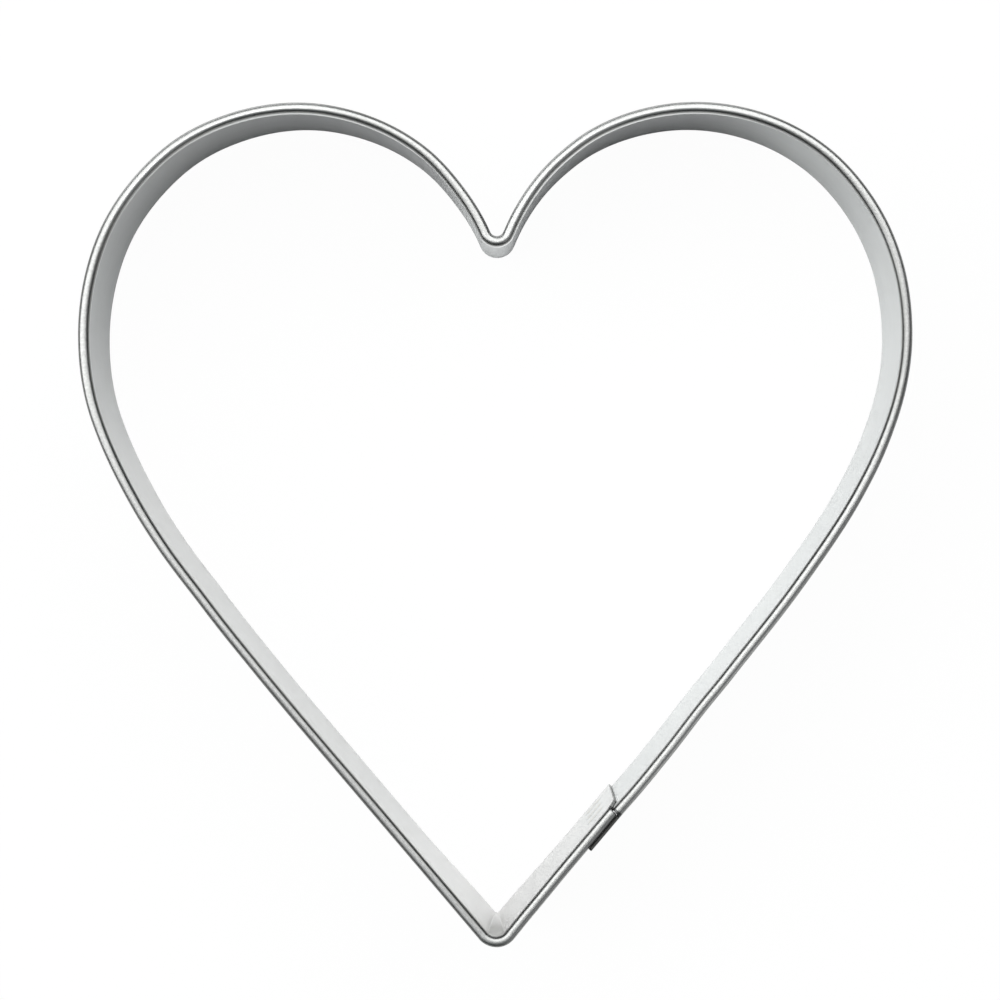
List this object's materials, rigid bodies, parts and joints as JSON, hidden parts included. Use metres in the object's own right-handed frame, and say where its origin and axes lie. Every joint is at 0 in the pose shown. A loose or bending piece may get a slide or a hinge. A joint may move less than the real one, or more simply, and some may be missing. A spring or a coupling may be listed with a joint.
{
  "type": "cookie cutter",
  "caption": "Heart-shaped cookie cutter: one strip of bright steel on edge, hemmed outwards along the rim, its ends lapped and spot welded on one flank.",
  "frame": {"origin": "middle of the heart's width and length, on the plane of the cutting edge", "axes": "+Z from the cutting edge up to the hemmed rim, +Y from the tip towards the notch, +X across the heart"},
  "size_m": [0.08, 0.081, 0.025],
  "materials": {
    "band_steel": "bright cold-rolled stainless sheet",
    "weld_steel": "weld nuggets, slightly dulled by heat"
  },
  "bodies": {
    "root": {"band": "band_steel", "spot_welds": "weld_steel"}
  },
  "joints": []
}
